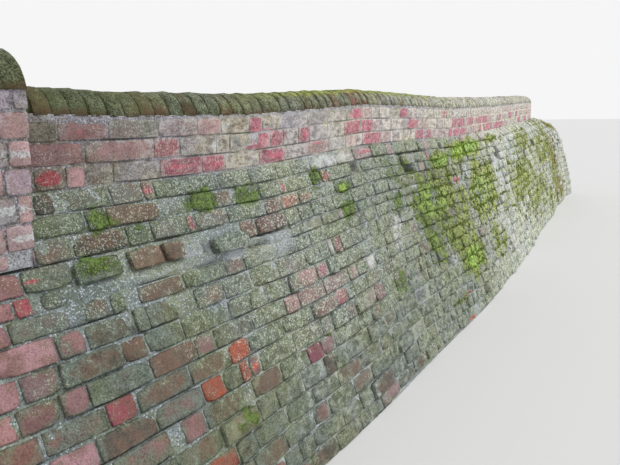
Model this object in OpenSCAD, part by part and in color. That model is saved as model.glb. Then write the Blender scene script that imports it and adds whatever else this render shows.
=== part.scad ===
// Old garden wall of brick on a convex bend: a straight parapet under a half-round coping
// stands on a battered and bulging retaining wall, and a taller pier closes its left end.
// The front faces -Y, +X runs along the wall to the right, and the base is flat at z = 0.
// s is the distance along the parapet's front line, from the pier's right edge.

/* [Length and bend] */
// Length of one bay, nine brick ends with their joints
bay_len = 1071; // [500:1:2000]
// Number of bays to the right of the pier
bay_count = 10; // [2:1:12]
// Distance along the wall, and the way that the wall heads there in degrees from +X
heading_at = [
    [0, -10], [2000, -2.5], [5000, 0], [8000, 2.2], [9500, 9.8], [11000, 23.6]
]; // [headings from -30 to 40 degrees]
// Straight pieces that make up the curve of one bay
cuts_per_bay = 7; // [3:1:14]

/* [Parapet] */
// Thickness of the wall at its top, one brick
wall_t = 225; // [150:1:450]
// Height of the parapet, three courses
parapet_h = 255; // [170:1:510]
// Distance along the wall, and the height of the coping's seat over the ground
seat_at = [
    [0, 1629], [1200, 1616], [2400, 1654], [3200, 1638], [4200, 1609], [6000, 1618], [8000, 1647]
]; // [heights from 1400 to 1900 mm]

/* [Battered face] */
// Distance along the wall, and how far the face comes forward for each unit that it drops
lean_at = [
    [0, 0.48], [1000, 0.385], [2500, 0.41], [4000, 0.37], [5000, 0.33], [6500, 0.285], [9000, 0.265], [10710, 0.4]
]; // [leans from 0.1 to 0.6]
// Distance along the wall, and the bow of the face, forward for each square of the drop
bow_at = [
    [0, 0.000015], [2500, -0.000045], [4000, 0], [7000, -0.00004], [9000, -0.00005], [10710, -0.000085]
]; // [bows from -0.0001 to 0.0001]
// Distance along the wall, and the width of the ledge that bulges out under the parapet
ledge_at = [
    [0, 0], [4000, 0], [6000, 100], [7500, 115], [9300, 200], [10200, 320], [10710, 530]
]; // [ledges from 0 to 550 mm]
// Drop over which the ledge rounds down into the face
ledge_round = 90; // [40:1:200]

/* [Coping] */
// Height of the half-round coping
coping_h = 104; // [70:1:140]
// Width of the coping across the wall
coping_w = 231; // [180:1:320]
// Coping bricks on edge in one bay
bricks_per_bay = 14; // [10:1:18]
// Joint between two coping bricks
coping_joint = 9; // [4:0.5:14]
// How much a wedge of mortar lifts the coping at the pier
wedge_h = 16; // [0:1:30]
// Length over which the wedge runs out
wedge_len = 450; // [100:10:1000]

/* [Pier] */
// Width of the pier along the wall, two and a half bricks
pier_w = 571; // [340:1:800]
// How far the pier stands out from the parapet
pier_out = 110; // [60:1:160]
// How far the pier leans to the right for each unit that it rises
pier_lean = 0.065; // [0:0.005:0.1]
// Height at which the pier's leaning edge crosses the start of the wall
pier_cross = 1400; // [1200:10:1700]
// Height of the pier's top over the coping's seat
pier_rise = 93; // [40:1:300]
// Height of the pier's half-round cap
cap_h = 142; // [90:1:170]
// How far the cap overhangs the pier, front and back
cap_over = 6; // [0:0.5:20]
// Bricks on edge in the cap
cap_bricks = 7; // [4:1:9]

/* [Hidden] */
$fn = 96;
wall_len = bay_len * bay_count;
// Length of one straight piece of the curve, and its number up to the right end
cut = bay_len / cuts_per_bay;
cut_count = bay_count * cuts_per_bay;
// The origin lies half-way along the wall, where the heading is along +X
mid = 4 * bay_len + bay_len / 2;
mid_cut = 4.5 * cuts_per_bay;
// Drops below the parapet at which the battered face has a corner
drops = [0, 35, 80, 140, 220, 330, 480, 680, 900, 1130];
// The pier's foot stands where the battered face has come forward as far as the pier
pier_drop = pier_out / lookup(0, lean_at);
pier_foot = lookup(0, seat_at) - parapet_h - pier_drop;
pier_top = lookup(0, seat_at) + pier_rise;

BAYS = [for (i = [1:bay_count]) i];

function heading(s) = lookup(s, heading_at);
function along(s) = [cos(heading(s)), sin(heading(s))];
function forward(s) = [sin(heading(s)), -cos(heading(s))];
function seat(s) = lookup(s, seat_at);
function ledge(s) = lookup(s, ledge_at);
// The coping's seat, with the wedge of mortar
function coping_seat(s) = seat(s) + wedge_h * max(0, 1 - s / wedge_len);
// The pier's right edge at height z, the plane where the wall starts
function pier_edge(z) = pier_lean * (z - pier_cross);

// Points of the parapet's front line at every half cut, added up along the heading
half_cut = cut / 2;
line_from_pier = [
    for (i = 0, p = [0, 0]; i <= 2 * cut_count; p = p + half_cut * along((i + 0.5) * half_cut), i = i + 1) p
];
line_origin = line_from_pier[2 * mid_cut];
function line_point(i) = line_from_pier[i] - line_origin;

// A point of the straight stretch at the pier, at distance s
function pier_point(s, out, z) =
    let (p = line_point(0) + s * along(0) + out * forward(0)) [p[0], p[1], z];
// A point at half cut i, a distance out in front of the parapet's face and a height z.
// The first cut lies on the pier's edge.
function wall_point(i, out, z) =
    let (p = line_point(i) + out * forward(i * half_cut))
    i == 0 ? pier_point(pier_edge(z), out, z) : [p[0], p[1], z];
// How far in front of the parapet the battered face is, at distance s and a given drop
function face_out(s, drop) =
    lookup(s, lean_at) * drop
    + lookup(s, bow_at) * drop * drop
    + ledge(s) * (1 - exp(-drop / ledge_round));

// Solid through rings of points, each ring with the same number of points.
// An end is a fan of triangles from the ring's first point.
module loft(rings) {
    m = len(rings[0]);
    n = len(rings);
    polyhedron(
        points = [for (r = rings) for (p = r) p],
        faces = concat(
            [for (j = [1:m - 2]) [0, j, j + 1]],
            [for (j = [1:m - 2]) [(n - 1) * m, (n - 1) * m + j + 1, (n - 1) * m + j]],
            [for (i = [0:n - 2]) for (j = [0:m - 1]) let (k = (j + 1) % m)
                [i * m + j, (i + 1) * m + k, i * m + k]],
            [for (i = [0:n - 2]) for (j = [0:m - 1]) let (k = (j + 1) % m)
                [i * m + j, (i + 1) * m + j, (i + 1) * m + k]]
        ),
        convexity = 4
    );
}

// Half-round profile that stands on the line y = 0
module half_round(w, h) {
    r = (w * w / 4 + h * h) / (2 * h);
    intersection() {
        translate([0, h - r]) circle(r = r);
        translate([-w / 2, 0]) square([w, h]);
    }
}

// One brick on edge, its length across the wall, with its foot's middle at p
module brick_on_edge(p, angle, w, h, t) {
    translate(p)
        rotate([0, 0, angle])
            rotate([90, 0, 90])
                translate([0, 0, -t / 2])
                    linear_extrude(t) half_round(w, h);
}

// Battered and bulging wall of one bay, from the ground up to the parapet
module retaining_bay(bay) {
    first = 2 * cuts_per_bay * (bay - 1);
    color("#6c6a55")
        loft([
            for (i = [first:2:first + 2 * cuts_per_bay])
                let (s = i * half_cut, top = seat(s) - parapet_h)
                concat(
                    [wall_point(i, -wall_t, 0), wall_point(i, -wall_t, top)],
                    [for (d = drops) wall_point(i, face_out(s, d), top - d)],
                    [wall_point(i, face_out(s, top), 0)]
                )
        ]);
}

// Upright parapet of one bay
module parapet_bay(bay) {
    first = 2 * cuts_per_bay * (bay - 1);
    color("#9b6b62")
        loft([
            for (i = [first:2:first + 2 * cuts_per_bay])
                let (foot = seat(i * half_cut) - parapet_h, top = coping_seat(i * half_cut))
                [
                    wall_point(i, -wall_t, foot), wall_point(i, -wall_t, top),
                    wall_point(i, 0, top), wall_point(i, 0, foot)
                ]
        ]);
}

// Coping of one bay: half-round bricks on edge, each square to the curve.
// The brick at the pier is thinner where the pier leans over it.
module coping_bay(bay) {
    pitch = bay_len / bricks_per_bay;
    first = (bay - 1) * bay_len;
    color("#6d6a45")
        for (i = [0:bricks_per_bay - 1]) {
            left = max(first + i * pitch, pier_edge(pier_top));
            right = first + (i + 1) * pitch;
            s = (left + right) / 2;
            f = floor(s / half_cut);
            t = s / half_cut - f;
            p = (1 - t) * line_point(f) + t * line_point(f + 1) - wall_t / 2 * forward(s);
            brick_on_edge([p[0], p[1], coping_seat(s)], heading(s), coping_w, coping_h, right - left - coping_joint);
        }
}

// Battered wall under the pier, with a plumb left end
module pier_base() {
    top = seat(0) - parapet_h;
    left = pier_edge(pier_foot) - pier_w;
    outline = concat(
        [[-wall_t, 0], [-wall_t, pier_foot], [pier_out, pier_foot]],
        [for (d = drops) if (d > pier_drop + 5) [face_out(0, d), top - d]],
        [[face_out(0, top), 0]]
    );
    color("#7b6558")
        loft([
            [for (c = outline) pier_point(left, c[0], c[1])],
            [for (c = outline) wall_point(0, c[0], c[1])]
        ]);
}

// Leaning shaft of the pier
module pier() {
    outline = [[-wall_t, pier_foot], [-wall_t, pier_top], [pier_out, pier_top], [pier_out, pier_foot]];
    color("#a97a78")
        loft([
            [for (c = outline) pier_point(pier_edge(c[1]) - pier_w, c[0], c[1])],
            [for (c = outline) wall_point(0, c[0], c[1])]
        ]);
}

// Larger half-round cap of bricks on edge over the pier
module pier_cap() {
    pitch = pier_w / cap_bricks;
    left = pier_edge(pier_top) - pier_w;
    color("#77744c")
        for (i = [0:cap_bricks - 1])
            brick_on_edge(
                pier_point(left + (i + 0.5) * pitch, (pier_out - wall_t) / 2, pier_top),
                heading(0), wall_t + pier_out + 2 * cap_over, cap_h, pitch - coping_joint
            );
}

pier_base();
pier();
pier_cap();
for (bay = BAYS) {
    retaining_bay(bay);
    parapet_bay(bay);
    coping_bay(bay);
}
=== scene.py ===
import math
import random
import bmesh
import bpy
import numpy as np
from mathutils import Matrix, Vector, noise


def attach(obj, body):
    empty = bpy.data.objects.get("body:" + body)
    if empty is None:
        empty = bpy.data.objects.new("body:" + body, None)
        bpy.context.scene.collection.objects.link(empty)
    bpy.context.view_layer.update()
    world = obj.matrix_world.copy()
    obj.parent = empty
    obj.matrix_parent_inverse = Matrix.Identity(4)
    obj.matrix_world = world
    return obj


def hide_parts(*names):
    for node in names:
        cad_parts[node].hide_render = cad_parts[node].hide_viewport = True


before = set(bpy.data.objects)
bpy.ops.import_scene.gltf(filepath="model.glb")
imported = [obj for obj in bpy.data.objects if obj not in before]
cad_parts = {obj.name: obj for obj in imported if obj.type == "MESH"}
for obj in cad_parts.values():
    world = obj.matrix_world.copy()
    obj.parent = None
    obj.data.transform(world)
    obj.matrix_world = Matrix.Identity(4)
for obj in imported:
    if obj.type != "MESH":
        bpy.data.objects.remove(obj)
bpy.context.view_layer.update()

print("frame loaded:", len(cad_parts), "nodes")

# The wall's form in metres, by the same rule as the solids.
# s is the distance along the parapet's front from the pier, k counts courses below the coping.
wallForm = {
    "bay": 1.071,
    "bays": 10,
    "cutsPerBay": 7,
    "thickness": 0.225,
    "parapet": 0.255,
    "parapetCourse": 0.085,
    "courseDrop": 0.0764,
    "heading": [(0, -10), (2, -2.5), (5, 0), (8, 2.2), (9.5, 9.8), (11, 23.6)],
    "seat": [(0, 1.629), (1.2, 1.616), (2.4, 1.654), (3.2, 1.638), (4.2, 1.609), (6, 1.618), (8, 1.647)],
    "lean": [(0, 0.48), (1, 0.385), (2.5, 0.41), (4, 0.37), (5, 0.33), (6.5, 0.285), (9, 0.265),
             (10.71, 0.4)],
    "bow": [(0, 0.015), (2.5, -0.045), (4, 0), (7, -0.04), (9, -0.05), (10.71, -0.085)],
    "ledge": [(0, 0), (4, 0), (6, 0.1), (7.5, 0.115), (9.3, 0.2), (10.2, 0.32), (10.71, 0.53)],
    "ledgeRound": 0.09,
    "wedge": 0.016,       # mortar that lifts the coping at the pier
    "wedgeLength": 0.45,
    "pierWidth": 0.571,
    "pierOut": 0.11,
    "pierLean": 0.065,
    "pierCross": 1.4,
    "pierFoot": 1.145,
    "pierTop": 1.722,
    "ground": 0.0015,     # the lowest point of any piece
}
wallLength = wallForm["bay"] * wallForm["bays"]
thickness, parapetHeight, ground = (wallForm[key] for key in ("thickness", "parapet", "ground"))
pierWidth, pierOut, pierTop = (wallForm[key] for key in ("pierWidth", "pierOut", "pierTop"))


def clamp(value):
    return min(max(value, 0), 1)


def mixed(first, second, share):
    return [a + (b - a) * share for a, b in zip(first, second)]


def lookup(table, x):
    if x <= table[0][0]:
        return table[0][1]
    for (x0, y0), (x1, y1) in zip(table, table[1:]):
        if x <= x1:
            return y0 + (y1 - y0) * (x - x0) / (x1 - x0)
    return table[-1][1]


def upBy(z):
    return Vector((0, 0, z))


def along(s):
    turn = math.radians(lookup(wallForm["heading"], s))
    return Vector((math.cos(turn), math.sin(turn), 0))


def forward(s):
    a = along(s)
    return Vector((a.y, -a.x, 0))


halfCut = wallForm["bay"] / wallForm["cutsPerBay"] / 2
linePoints = [Vector((0, 0, 0))]
for i in range(2 * wallForm["cutsPerBay"] * wallForm["bays"]):
    linePoints.append(linePoints[-1] + halfCut * along((i + 0.5) * halfCut))
lineMiddle = linePoints[9 * wallForm["cutsPerBay"]].copy()  # four and a half bays from the pier
linePoints = [p - lineMiddle for p in linePoints]


def lineAt(s):
    if s <= 0:
        return linePoints[0] + s * along(0)
    if s >= wallLength:
        return linePoints[-1] + (s - wallLength) * along(wallLength)
    i = min(int(s / halfCut), len(linePoints) - 2)
    return linePoints[i].lerp(linePoints[i + 1], s / halfCut - i)


def seatAt(s):
    return lookup(wallForm["seat"], s)


def copingSeat(s):
    return seatAt(s) + wallForm["wedge"] * clamp(1 - s / wallForm["wedgeLength"])


def wallPoint(s, out, z):
    return lineAt(s) + out * forward(s) + upBy(z)


def pierEdge(z):
    return wallForm["pierLean"] * (z - wallForm["pierCross"])


def pierPoint(s, out, z):  # s from the pier's leaning right edge
    return linePoints[0] + (s + pierEdge(z)) * along(0) + out * forward(0) + upBy(z)


def faceOut(s, drop):
    lean, bow, ledge = (lookup(wallForm[key], s) for key in ("lean", "bow", "ledge"))
    return lean * drop + bow * drop * drop + ledge * (1 - math.exp(-drop / wallForm["ledgeRound"]))


def facePoint(s, down, lift=0.0):  # down is the height below the parapet's top, lift is square to the face
    drop = down - parapetHeight
    if drop <= 0:
        return wallPoint(s, lift, seatAt(s) - down)
    lean = (faceOut(s, drop + 0.01) - faceOut(s, drop)) / 0.01
    scale = 1 / math.hypot(1, lean)
    return wallPoint(s, faceOut(s, drop) + lift * scale, seatAt(s) - down + lift * lean * scale)


def downOf(k):
    return k * wallForm["parapetCourse"] if k <= 3 else parapetHeight + (k - 3) * wallForm["courseDrop"]


def courseOf(down):
    battered = 3 + (down - parapetHeight) / wallForm["courseDrop"]
    return np.where(down < parapetHeight, down / wallForm["parapetCourse"], battered)


def courseAt(down):
    return float(courseOf(np.array(down)))


leftEnd = pierEdge(wallForm["pierFoot"]) - pierWidth


def maths(word, swapped=False):
    def run(self, other):
        return self.sheet.calc(word, other, self) if swapped else self.sheet.calc(word, self, other)
    return run


class Wire:  # one output socket, with maths as plain expressions
    __add__, __radd__ = maths("ADD"), maths("ADD", True)
    __sub__, __rsub__ = maths("SUBTRACT"), maths("SUBTRACT", True)
    __mul__, __rmul__ = maths("MULTIPLY"), maths("MULTIPLY", True)
    __truediv__, __pow__, least, most = maths("DIVIDE"), maths("POWER"), maths("MINIMUM"), maths("MAXIMUM")

    def __init__(self, sheet, socket):
        self.sheet, self.socket = sheet, socket

    def isVector(self):
        return self.socket.type in ("VECTOR", "RGBA", "ROTATION")

    def out(self, name):
        return Wire(self.sheet, self.socket.node.outputs[name])

    def size(self):
        return self.sheet.calc("ABSOLUTE", self)

    def parts(self):
        node = self.sheet.add("ShaderNodeSeparateXYZ", {0: self})
        return node.out("X"), node.out("Y"), node.out("Z")

    def mix(self, first, second):  # this is the second's share
        return self.sheet.add("ShaderNodeMix", {"Factor": self, "A": first, "B": second}, data_type="RGBA")

    def step(self, low, high):  # 0 at low, 1 at high, smooth between
        ends = {"Value": self, "From Min": low, "From Max": high}
        return self.sheet.add("ShaderNodeMapRange", ends, interpolation_type="SMOOTHSTEP")

    def grain(self, scale, detail=3.0, roughness=0.55):
        noised = {"Vector": self, "Scale": scale, "Detail": detail, "Roughness": roughness}
        return self.sheet.add("ShaderNodeTexNoise", noised)

    def shake(self, scale, detail):  # a random vector
        return self.grain(scale, detail).out("Color") - (0.5, 0.5, 0.5)

    def dots(self, scale, size, share):  # round spots in a share of the cells, 1 inside
        cells = self.sheet.add("ShaderNodeTexVoronoi", {"Vector": self, "Scale": scale})
        chosen = cells.out("Color").parts()[0]
        return cells.out("Distance").step(size, size * 0.5) * self.sheet.calc("LESS_THAN", chosen, share)


class Sheet:  # a node tree under construction
    def __init__(self, tree):
        self.tree = tree

    def add(self, kind, sockets=None, **settings):
        node = self.tree.nodes.new(kind)
        for name, value in settings.items():
            setattr(node, name, value)
        for key, value in (sockets or {}).items():
            named = [s for s in node.inputs if s.name == key]
            shown = [s for s in named if s.enabled]
            self.feed((shown + named)[0] if named else node.inputs[key], value)
        shown = [o for o in node.outputs if o.enabled]
        return Wire(self, shown[0]) if shown else node

    def feed(self, socket, value):
        if isinstance(value, Wire):
            self.tree.links.new(value.socket, socket)
            return
        if socket.type == "RGBA":
            value = (*(paint(value) if isinstance(value, str) else value), 1)
        socket.default_value = value

    def calc(self, word, *values):
        vectors = [v for v in values if isinstance(v, tuple) or (isinstance(v, Wire) and v.isVector())]
        if not vectors:
            return self.add("ShaderNodeMath", dict(enumerate(values)), operation=word)
        singles = [v for v in values if v not in vectors]
        if word == "MULTIPLY" and singles:
            return self.add("ShaderNodeVectorMath", {0: vectors[0], "Scale": singles[0]}, operation="SCALE")
        return self.add("ShaderNodeVectorMath", dict(enumerate(values)), operation=word)

    def attribute(self, name, kind="Fac"):
        return self.add("ShaderNodeAttribute", attribute_name=name).out(kind)

    def named(self, name):
        return self.add("GeometryNodeInputNamedAttribute", {"Name": name}, data_type="FLOAT_VECTOR")

    def where(self):
        return self.add("ShaderNodeTexCoord").out("Object")

    def vector(self, x, y, z):
        return self.add("ShaderNodeCombineXYZ", {"X": x, "Y": y, "Z": z})


def paint(seen):  # a colour as seen, as #rrggbb or three numbers from 0 to 255, made linear
    if isinstance(seen, str):
        seen = [int(seen[i:i + 2], 16) for i in (1, 3, 5)]
    shares = [v / 255 for v in seen]
    return [v / 12.92 if v <= 0.04045 else ((v + 0.055) / 1.055) ** 2.4 for v in shares]


# Colour of each kind of brick, and how much of it lies under crust
tones = {
    "g": ((118, 114, 102), 0.68),  # lichened
    "b": ((116, 102, 88), 0.48),   # brown
    "d": ((92, 88, 78), 0.38),     # dark
    "q": ((140, 108, 106), 0.44),  # dull red
    "r": ((156, 90, 100), 0.08),   # red
    "o": ((164, 92, 74), 0.25),    # orange
    "p": ((167, 127, 128), 0.24),  # pink
    "l": ((156, 148, 146), 0.35),  # pale mauve
    "c": ((190, 182, 170), 0.20),  # cream
    "s": ((118, 122, 116), 0.35),  # slate
    "v": ((182, 156, 160), 0.20),  # mauve
    "w": ((186, 184, 178), 0.10),  # limed white
    "y": ((134, 136, 108), 0.60),  # yellow-green
    "e": ((98, 104, 66), 0.60),    # under moss
    "n": ((114, 92, 86), 0.22),    # dark and reddish
}

# Lengths of the bricks along each course in cm, from a start in metres right of the pier's edge.
# The letter is the tone. A capital one is a brick that has slipped, P one that stands out, m mortar, x a gap.
bond = {
    1: (0.018, "15g 21q 24s 22q 15p 20b 10r 16g 25s 22l 23c 7y 15r 13p 12c 17c 18y 17r 18q 16c 22l 22c "
        "15r 20q 20c 30c"),
    2: (0.01, "26q 32q 14r 22b 9d 8s 23r 11r 14y 11r 20l 21l 22r 18r 15p 15c 12c 20q 21r 25p 20c 20c "
        "22c 18r 24r 11p 22r"),
    3: (0.004, "6b 12q 8p 12g 23g 24r 15r 25y 22r 19y 26p 21w 23p 29r 15p 24y 26y 19r 18r 10p 22p 13p "
        "13r 22r 23r 26p"),
    4: (0, "4d 8d 23g 15s 6q 16g 21g 22g 22g 13g 18s 15l 15l 22c 25p 25y 11p 24y 24y 14y 15p 20y 22y "
        "22g 20p 22p"),
    5: (-0.004, "22g 9e 25b 17s 13e 13b 20y 16g 6q 24y 10e 7o 30g 13x 22g 21g 19g 25S 25G 8R 18L 20Y"),
    6: (-0.01, "14s 23d 12e 19s 5r 20s 27g 13n 16o 12o 10e 15g 22e 18g 22g 21g 20g 29x 12l 14y 22e 22e"),
    7: (-0.08, "18b 19E 4m 16B 12B 15m 22P 11n 13n 11n 11g 12g 12e 11b 22y 18e 12g 23g 24g"),
    8: (-0.13, "6r 3m 8d 129m 8d 21y 18g 8l 15g 11g 10y 22g 20g 24g 24g"),
    9: (-0.17, "21q 5m 11b 6e 6m 23b 25y 13q 13g 24q 4m 12g 16y 25y 21g 17g 23g 25g"),
    10: (-0.24, "20p 11q 20d 6y 15b 10m 17b 19g 20y 23q 14g 9g 5w 8r 12q 12b 11g 12g 12g 23g 24g"),
    11: (-0.28, "9p 13q 24d 11b 18g 27g 15y 11y 18g 9q 16p 11r 10g 25y 13g 22g 23g 34q"),
    12: (-0.31, "8p 14q 10q 26b 23b 11q 25q 25g 11p 23q 26q 10p 13g 10w 18g 18g 23g"),
    13: (-0.38, "20q 23q 12r 26b 23b 13o 26g 24g 23q 12r 23g 23y 13d 22g 25g"),
    14: (-0.3, "12q 16p 24b 24q 12o 11d 6o 8q 26g 24q 10s 15g 10d 23l 12q 17g 20q"),
    15: (-0.3, "20p 11p 24q 6m 12q 24b 6m 21b 22g 12r 12q 25g 16g 10q 24g"),
    16: (-0.1, "24q 10b 24b 24y 14b 21g 15g 4m 8d 13g 25g 22y 14q 12g 24g"),
    17: (0.1, "20b 23o 12d 24g 22g 22g 24b 24b 15y 24l 24g 24g"),
    18: (0.33, "27q 23b 24g 13q 24d 20b 24g 12d 22g 22x 24g"),
    19: (0.55, "23q 12g 12g 26g 18g 13y 24d 21g 22g 24g"),
    20: (0.48, "23q 24q 23d 23q 24g 23q 24d 22d"),
    21: (0.75, "24q 26d 24q 22d 22q 24d 24q"),
}

# Where the bed under each course lies, in courses, on the left at 0.3 m and on the right at 1.5 m
bedsLeft = [
    0, 1, 2, 2.99, 4, 5, 6.05, 7.08, 7.85, 8.76, 9.87, 10.95, 12, 13.03, 14.07, 15.2, 16.3, 17.4, 18.45,
    19.5, 20.5, 21.2
]
bedsRight = [
    0, 1, 2, 2.95, 4, 5, 5.95, 7, 7.75, 8.7, 9.85, 10.95, 12, 13.08, 14.3, 15.35, 16.6, 17.65, 18.75,
    19.9, 20.95, 22.1
]
courseCount = len(bond)


def bedAt(n, s):  # height below the parapet's top of the bed under course n
    even = n if n <= 7 else 7 + (n - 7) * 1.075
    if s < 1.5:
        k = bedsLeft[n] + (bedsRight[n] - bedsLeft[n]) * clamp((s - 0.3) / 1.2)
    else:
        k = bedsRight[n] + (even - bedsRight[n]) * clamp((s - 2.7) / 2.3)
    if 3 < n:
        k += 0.16 * noise.noise(Vector((s * 1.1, n * 0.37, 4.0))) * clamp((s - 1.8) / 1.5)
    elif 0 < n:
        k += 0.05 * noise.noise(Vector((s * 0.9, n * 2.3, 9.0)))
    return downOf(max(k, 0))


# What lies on the wall: centre along it and in courses, half sizes, and strength
mossPatches = [
    (0.27, 4.5, 0.05, 0.5, 1.1), (0.8, 4.5, 0.07, 0.5, 1.1), (1.1, 4.5, 0.1, 0.5, 0.45),
    (0.425, 5.5, 0.05, 0.5, 0.7), (1.72, 4.5, 0.06, 0.5, 1), (1.94, 5.7, 0.09, 0.4, 1.3),
    (1.97, 7.2, 0.12, 0.7, 0.7), (2.32, 13.9, 0.1, 0.7, 0.7), (0.66, 15.8, 0.08, 0.5, 0.5),
    (0.22, 6.5, 0.1, 0.4, 0.6), (1.55, 6.4, 0.06, 0.4, 0.6), (1.75, 5.2, 0.12, 0.2, 0.7),
    (2.8, 6, 0.2, 1.1, 1), (2.65, 8.2, 0.2, 1, 0.7), (3.7, 5.3, 0.36, 0.8, 1.35), (4.5, 4.4, 0.5, 0.8, 1.5),
    (5.35, 3.9, 0.45, 0.5, 1.1), (3.25, 8.8, 0.5, 2.6, 1.15), (3.02, 12.7, 0.14, 1.8, 1.1),
    (4, 7.2, 0.3, 0.7, 0.9), (4.6, 9.8, 0.5, 3.2, 1.15), (4.8, 7.4, 0.25, 1.2, 0.9),
    (3.6, 12.8, 0.35, 2.4, 1), (3.78, 15.8, 0.3, 1.6, 1.4), (2.38, 14.3, 0.1, 1.1, 0.55),
    (4.7, 15.8, 0.28, 1.8, 0.9), (5.2, 12.2, 0.2, 2, 0.7), (3.2, 18.5, 0.2, 0.6, 0.8),
    (6.3, 10.6, 0.7, 3.6, 1), (7.1, 14.6, 0.8, 3.2, 0.9), (6.9, 5.5, 0.5, 1.4, 1), (8, 8.6, 0.5, 3, 0.9),
    (9, 10.5, 0.7, 5, 1), (9.4, 17, 0.7, 3.2, 0.9), (10.4, 4.4, 0.4, 1.4, 1), (2.6, 4.5, 0.1, 0.4, 0.7),
    (1.3, 14.2, 0.1, 0.4, 0.5), (8.3, 17.5, 0.4, 2, 0.8), (4.1, 4.9, 0.45, 0.55, 1.25),
    (3.95, 9.6, 0.45, 1.6, 0.85)
]
limePatches = [
    (5.1, 14.5, 0.25, 3.6, 0.7), (4.3, 6.9, 0.2, 0.8, 0.7), (1.17, 7.9, 0.18, 0.7, 0.35),
    (0.65, 6.9, 0.1, 0.5, 0.64), (0.9, 7.7, 0.1, 0.3, 0.7), (5.35, 9.2, 0.3, 3.8, 0.8),
    (0.98, 10.5, 0.1, 0.6, 0.5), (2.4, 11, 0.09, 1.6, 0.62), (2.5, 9.6, 0.09, 0.6, 0.7),
    (1.98, 11.5, 0.05, 0.5, 0.7), (6.3, 6.3, 0.6, 1.9, 0.85), (1.83, 3.5, 0.22, 0.5, 0.8),
    (2.1, 3.5, 0.12, 0.5, 0.6), (0.95, 1.5, 0.02, 0.4, 0.9), (1.02, 0.6, 0.025, 0.4, 0.9),
    (2.04, 2.5, 0.1, 0.4, 0.6), (1.7, 2.7, 0.2, 0.3, 0.5), (7.9, 5, 0.6, 1.4, 0.8), (8.4, 12, 0.3, 3, 0.8),
    (2.98, 7.2, 0.08, 0.4, 0.8), (4.1, 8.8, 0.12, 0.5, 0.7), (3.95, 10.2, 0.12, 0.5, 0.6),
    (4.6, 17.8, 0.35, 1.2, 0.5), (9.4, 5.2, 0.6, 1.6, 0.8), (10.4, 8.5, 0.3, 3, 0.7),
    (2.78, 4.5, 0.05, 0.5, 0.8), (-0.05, 1.35, 0.06, 0.2, 0.8), (-0.07, 3.4, 0.07, 0.25, 0.9),
    (-0.03, 4.7, 0.05, 0.2, 0.8), (-0.2, 2.3, 0.06, 0.2, 0.7)
]
speckPatches = [
    (0.75, 3.3, 1.1, 0.9, 1), (0.3, 5.3, 0.35, 1.2, 0.8), (0.25, 8, 0.3, 0.5, 0.7), (1.3, 5, 0.7, 1.6, 0.8),
    (0.47, 0.5, 0.14, 0.5, 0.9), (0.07, 1.6, 0.08, 0.6, 0.8), (0.6, 1.5, 0.1, 0.5, 0.9),
    (1.15, 7.8, 0.2, 0.6, 0.9), (1.1, 9.5, 0.6, 1.5, 0.5), (2.4, 5, 0.5, 2, 0.8), (3.1, 3, 0.3, 0.9, 1),
    (3.1, 4.5, 0.4, 0.5, 1), (2.5, 9.5, 0.4, 1.5, 0.7), (5.2, 9, 0.5, 3, 0.8), (1.6, 13, 0.8, 2, 0.5)
]
barePatches = [
    (0.26, 0.72, 0.07, 0.2, 1), (0.12, 2.47, 0.05, 0.36, 1.2), (0.53, 3.5, 0.035, 0.3, 1),
    (1.28, 0.93, 0.13, 0.06, 1), (1.22, 1.65, 0.06, 0.22, 1), (1.465, 1.4, 0.02, 0.4, 1),
    (1.67, 1.45, 0.05, 0.35, 1), (1.8, 2.25, 0.1, 0.18, 1), (2.27, 0.65, 0.12, 0.3, 0.9),
    (1.4, 2.5, 0.09, 0.3, 1), (0.73, 2.5, 0.09, 0.25, 0.9), (0.95, 2.6, 0.06, 0.3, 0.9),
    (2.36, 3.45, 0.1, 0.3, 1), (0.4, 1.6, 0.09, 0.3, 0.6), (0.8, 0.85, 0.15, 0.12, 0.7),
    (0.55, 2.45, 0.09, 0.25, 0.5), (2.15, 4.5, 0.05, 0.4, 0.9), (1.82, 4.6, 0.03, 0.3, 0.9),
    (1.39, 4.6, 0.02, 0.4, 0.9), (1.5, 5.5, 0.15, 0.3, 0.7), (3.4, 4.6, 0.07, 0.3, 1),
    (3.95, 7.6, 0.12, 0.5, 1), (3.35, 18.4, 0.15, 0.35, 0.9), (3.3, 20.9, 0.12, 0.3, 0.9),
    (2.62, 19.6, 0.06, 0.3, 0.9), (2.5, 16.3, 0.05, 0.25, 0.9), (4.25, 3.3, 0.4, 0.3, 0.7),
    (2.75, 3.6, 0.05, 0.3, 0.8), (0.42, 13.75, 0.03, 0.2, 0.8), (0.79, 13.8, 0.05, 0.3, 0.9),
    (0.56, 16.75, 0.04, 0.2, 0.9), (1.97, 16, 0.03, 0.2, 0.8), (1.2, 13.8, 0.08, 0.15, 0.7),
    (1.15, 18.2, 0.02, 0.2, 0.9), (-0.05, 6.6, 0.03, 0.35, 0.8), (0, 11.6, 0.02, 0.2, 0.8)
]
# Rough mortar that stands nearly flush or proud: from and to along the wall and in courses, and its lift
mortarPatches = [
    (0.03, 1.3, 7.15, 7.8, 0.002), (1, 1.34, 7, 8.5, 0.028), (0.6, 0.75, 6, 7.8, 0.002),
    (0.72, 0.97, 6, 6.5, 0.004), (0.03, 0.1, 7.8, 8.7, 0.003), (0, 2, 2.95, 6.1, -0.003)
]
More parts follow.
